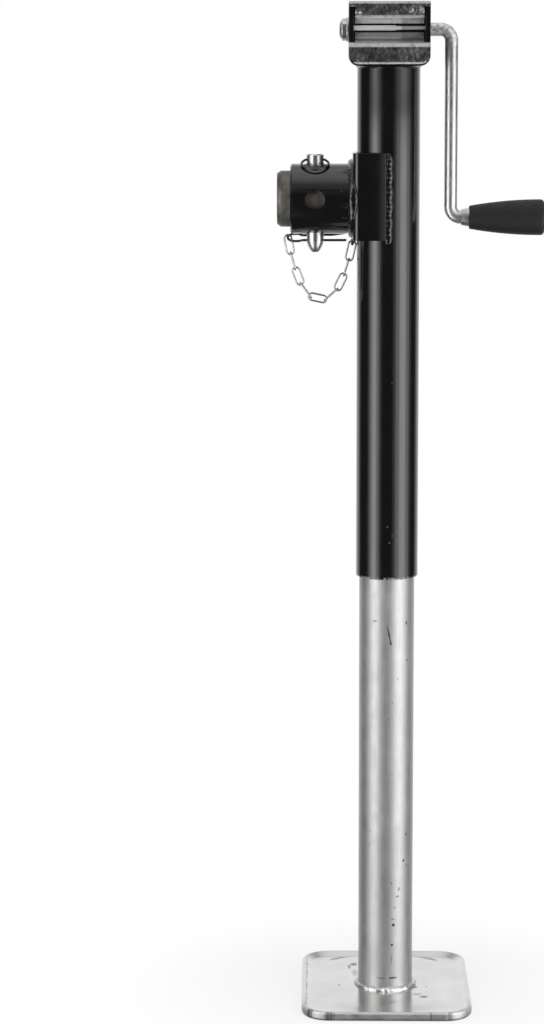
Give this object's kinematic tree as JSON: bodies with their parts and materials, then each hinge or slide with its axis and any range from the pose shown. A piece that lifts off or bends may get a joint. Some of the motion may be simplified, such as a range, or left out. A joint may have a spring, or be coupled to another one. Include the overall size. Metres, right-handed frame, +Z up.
{
  "type": "trailer prop stand",
  "caption": "Side-crank telescoping trailer prop stand on a flat foot, with a pinned tubular swivel mount, keeper chain and hand grip.",
  "frame": {"origin": "middle of the foot's underside, on the axis of the two tubes", "axes": "+Z up along the tubes, +X towards the crank arm and grip, -X towards the pipe mount, -Y the side with the pull ring"},
  "size_m": [0.2457, 0.192, 0.9213],
  "materials": {
    "black_paint": "semi-gloss black powder coat",
    "galvanised_cover": "mottled dull zinc",
    "bright_zinc": "bright zinc plate",
    "crank_zinc": "rough zinc plate",
    "bare_steel": "bare mill steel",
    "machined_steel": "oiled machined steel",
    "bronze": "sintered bronze",
    "dark_wire": "dark spring wire",
    "grip_plastic": "matte black"
  },
  "bodies": {
    "barrel": {"outer_tube": "black_paint", "head_weld": "black_paint", "gear_bracket": "black_paint", "gear_cover": "galvanised_cover", "cover_pin": "bright_zinc", "shaft_bushing_left": "bronze", "shaft_bushing_right": "bronze", "screw_bushing": "bronze", "lower_race": "machined_steel", "mount_bracket": "black_paint", "bracket_welds": "black_paint", "mount_sleeve": "black_paint", "sleeve_weld": "black_paint", "chain_lug": "black_paint"},
    "crank": {"crank_rod": "crank_zinc", "drive_pinion": "machined_steel", "pinion_pin": "machined_steel", "crank_washer": "crank_zinc", "crank_nut": "crank_zinc", "grip_stop": "bright_zinc", "grip_push_nut": "bright_zinc"},
    "grip": {"grip": "grip_plastic"},
    "screw": {"lift_screw": "machined_steel", "screw_gear": "machined_steel", "gear_pin": "machined_steel", "upper_race": "machined_steel", "screw_end_washer": "machined_steel", "screw_end_pin": "machined_steel"},
    "thrust_cage": {"thrust_balls": "machined_steel", "ball_cage": "bronze"},
    "leg": {"inner_tube": "bright_zinc", "foot_weld": "bright_zinc", "foot_plate": "bright_zinc", "drive_nut": "bronze"},
    "stub": {"mount_stub": "bare_steel"},
    "lock_pin": {"lock_pin": "bright_zinc"},
    "pull_ring": {"pull_ring": "dark_wire"},
    "hairpin_clip": {"hairpin_clip": "dark_wire"},
    "chain_clip_half": {"chain_clip_half": "bright_zinc"},
    "chain_lug_half": {"chain_lug_half": "bright_zinc"}
  },
  "joints": [
    {"name": "crank_turn", "type": "hinge", "parent": "barrel", "child": "crank", "pos_m": [0, 0, 0.8965], "axis": [1, 0, 0], "range_deg": [0, 38100]},
    {"name": "screw_turn", "type": "hinge", "parent": "barrel", "child": "screw", "pos_m": [0, 0, 0.8965], "axis": [0, 0, 1], "range_deg": [-22861, 1]},
    {"name": "cage_turn", "type": "hinge", "parent": "barrel", "child": "thrust_cage", "pos_m": [0, 0, 0.87135], "axis": [0, 0, 1], "range_deg": [-11431, 1]},
    {"name": "leg_slide", "type": "slide", "parent": "barrel", "child": "leg", "axis": [0, 0, 1], "range_m": [0, 0.3811]},
    {"name": "grip_spin", "type": "hinge", "parent": "crank", "child": "grip", "pos_m": [0.1075, 0, 0.728], "axis": [1, 0, 0], "continuous": true},
    {"name": "mount_swivel", "type": "hinge", "parent": "barrel", "child": "stub", "pos_m": [-0.0695, 0, 0.745], "axis": [1, 0, 0], "range_deg": [-2, 2]},
    {"name": "pin_lift", "type": "slide", "parent": "barrel", "child": "lock_pin", "axis": [0, 0, 1], "range_m": [0, 0.0012]},
    {"name": "ring_swing", "type": "hinge", "parent": "lock_pin", "child": "pull_ring", "pos_m": [-0.06649, 0, 0.78085], "axis": [1, 0, 0], "range_deg": [-225, 0]},
    {"name": "clip_pull", "type": "slide", "parent": "lock_pin", "child": "hairpin_clip", "axis": [-1, 0, 0], "range_m": [0, 0.037]},
    {"name": "chain_clip_swing", "type": "hinge", "parent": "hairpin_clip", "child": "chain_clip_half", "pos_m": [-0.0915, 0.00471, 0.70955], "axis": [0, -1, 0], "range_deg": [0, 28]},
    {"name": "chain_lug_swing", "type": "hinge", "parent": "barrel", "child": "chain_lug_half", "pos_m": [-0.03259, 0.00471, 0.70375], "axis": [0, -1, 0], "range_deg": [-21, 0]}
  ],
  "couplings": [
    {"joint": "screw_turn", "follows": "crank_turn", "ratio": -0.6},
    {"joint": "cage_turn", "follows": "crank_turn", "ratio": -0.3},
    {"joint": "leg_slide", "follows": "crank_turn", "m_per_rad": 0.00057296},
    {"joint": "chain_clip_swing", "follows": "clip_pull", "rad_per_m": 13.1},
    {"joint": "chain_lug_swing", "follows": "clip_pull", "rad_per_m": -9.7}
  ]
}
